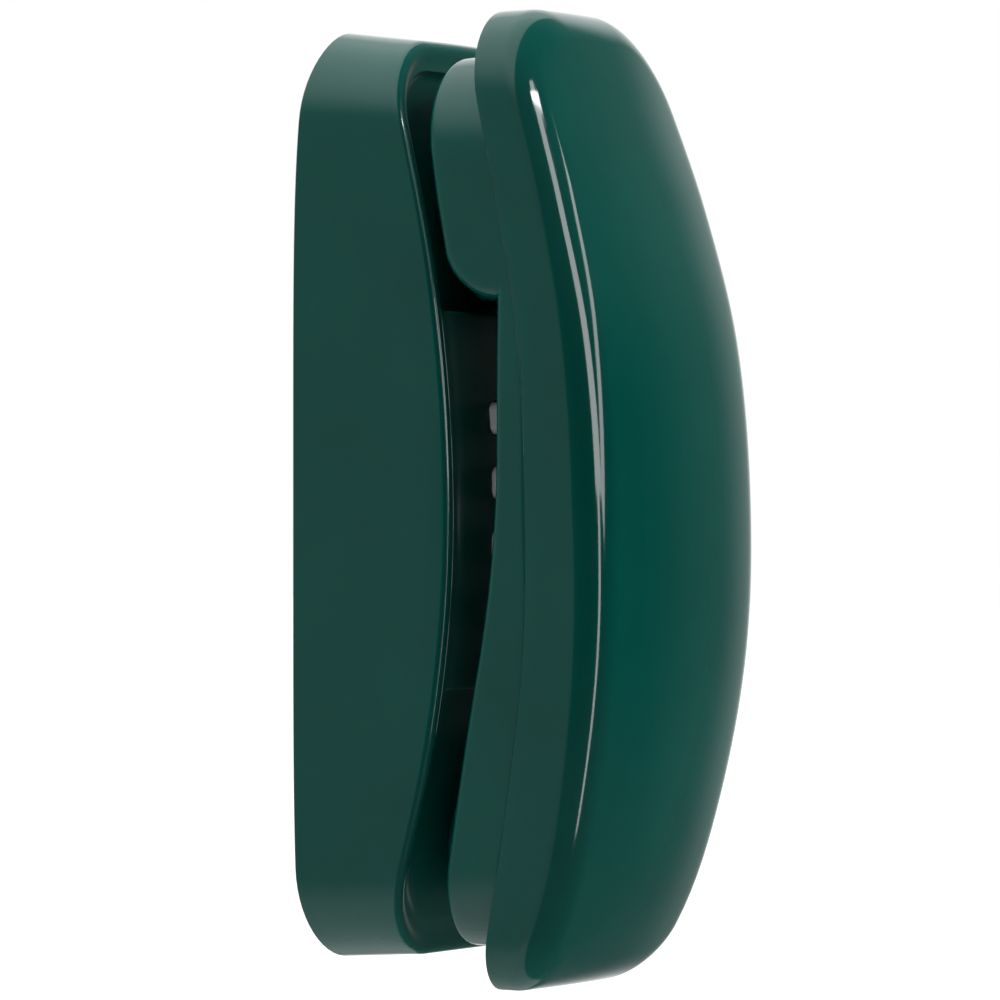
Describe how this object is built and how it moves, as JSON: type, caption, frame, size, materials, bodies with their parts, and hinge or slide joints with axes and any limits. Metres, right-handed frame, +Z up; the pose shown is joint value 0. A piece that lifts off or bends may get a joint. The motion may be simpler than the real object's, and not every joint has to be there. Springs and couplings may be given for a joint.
{
  "type": "wall telephone",
  "caption": "Dark green glossy wall telephone: a shallow rounded base with push buttons, covered by a one-piece curved handset hanging on its hook.",
  "frame": {"origin": "centre of the base's back face, on the wall", "axes": "+X to the right seen from the front, +Y into the wall, +Z up; the front faces -Y"},
  "size_m": [0.0702, 0.0829, 0.2166],
  "materials": {
    "green_plastic": "gloss",
    "dark_green_plastic": "satin",
    "white_plastic": "satin",
    "black_plastic": "matte",
    "board_laminate": "matte",
    "rubber": "matte",
    "foam": "matte",
    "steel": "satin"
  },
  "bodies": {
    "base": {"base_housing": "green_plastic", "base_screw_1": "steel", "base_screw_2": "steel", "base_screw_3": "steel", "base_screw_4": "steel", "cord_jack": "black_plastic", "hook_spring": "steel", "hook_switch": "black_plastic", "hook_tab": "steel", "key_mat": "rubber", "keypad_board": "board_laminate", "keypad_screw_1": "steel", "keypad_screw_2": "steel", "keypad_screw_3": "steel", "keypad_screw_4": "steel", "line_jack": "black_plastic", "main_board": "board_laminate", "main_screw_1": "steel", "main_screw_2": "steel", "main_screw_3": "steel", "main_screw_4": "steel", "ringer": "black_plastic", "ringer_switch": "black_plastic", "wall_plate": "dark_green_plastic"},
    "handset": {"handset_body": "green_plastic", "handset_cover": "green_plastic", "handset_jack": "black_plastic", "handset_screw_lower": "steel", "handset_screw_upper": "steel", "handset_weight": "steel", "microphone": "steel", "microphone_boot": "rubber", "receiver": "black_plastic", "receiver_seal": "foam"},
    "plunger": {"hook_plunger": "white_plastic"},
    "slider": {"ringer_slider": "white_plastic"},
    "button_1": {"key_1": "white_plastic"},
    "button_2": {"key_2": "white_plastic"},
    "button_3": {"key_3": "white_plastic"},
    "button_4": {"key_4": "white_plastic"},
    "button_5": {"key_5": "white_plastic"},
    "button_6": {"key_6": "white_plastic"},
    "button_7": {"key_7": "white_plastic"},
    "button_8": {"key_8": "white_plastic"},
    "button_9": {"key_9": "white_plastic"},
    "button_star": {"key_star": "white_plastic"},
    "button_0": {"key_0": "white_plastic"},
    "button_hash": {"key_hash": "white_plastic"}
  },
  "joints": [
    {"name": "handset_lift", "type": "slide", "parent": "base", "child": "handset", "axis": [0, -0.7071, 0.7071], "range_m": [0, 0.08]},
    {"name": "plunger_slide", "type": "slide", "parent": "base", "child": "plunger", "axis": [0, -1, 0], "range_m": [0, 0.0035]},
    {"name": "ringer_slide", "type": "slide", "parent": "base", "child": "slider", "axis": [0, 0, 1], "range_m": [0, 0.004]},
    {"name": "press_1", "type": "slide", "parent": "base", "child": "button_1", "axis": [0, 1, 0], "range_m": [0, 0.001], "stiffness_N_per_m": 400},
    {"name": "press_2", "type": "slide", "parent": "base", "child": "button_2", "axis": [0, 1, 0], "range_m": [0, 0.001], "stiffness_N_per_m": 400},
    {"name": "press_3", "type": "slide", "parent": "base", "child": "button_3", "axis": [0, 1, 0], "range_m": [0, 0.001], "stiffness_N_per_m": 400},
    {"name": "press_4", "type": "slide", "parent": "base", "child": "button_4", "axis": [0, 1, 0], "range_m": [0, 0.001], "stiffness_N_per_m": 400},
    {"name": "press_5", "type": "slide", "parent": "base", "child": "button_5", "axis": [0, 1, 0], "range_m": [0, 0.001], "stiffness_N_per_m": 400},
    {"name": "press_6", "type": "slide", "parent": "base", "child": "button_6", "axis": [0, 1, 0], "range_m": [0, 0.001], "stiffness_N_per_m": 400},
    {"name": "press_7", "type": "slide", "parent": "base", "child": "button_7", "axis": [0, 1, 0], "range_m": [0, 0.001], "stiffness_N_per_m": 400},
    {"name": "press_8", "type": "slide", "parent": "base", "child": "button_8", "axis": [0, 1, 0], "range_m": [0, 0.001], "stiffness_N_per_m": 400},
    {"name": "press_9", "type": "slide", "parent": "base", "child": "button_9", "axis": [0, 1, 0], "range_m": [0, 0.001], "stiffness_N_per_m": 400},
    {"name": "press_star", "type": "slide", "parent": "base", "child": "button_star", "axis": [0, 1, 0], "range_m": [0, 0.001], "stiffness_N_per_m": 400},
    {"name": "press_0", "type": "slide", "parent": "base", "child": "button_0", "axis": [0, 1, 0], "range_m": [0, 0.001], "stiffness_N_per_m": 400},
    {"name": "press_hash", "type": "slide", "parent": "base", "child": "button_hash", "axis": [0, 1, 0], "range_m": [0, 0.001], "stiffness_N_per_m": 400}
  ],
  "couplings": [
    {"joint": "plunger_slide", "follows": "handset_lift", "ratio": 0.0437}
  ]
}
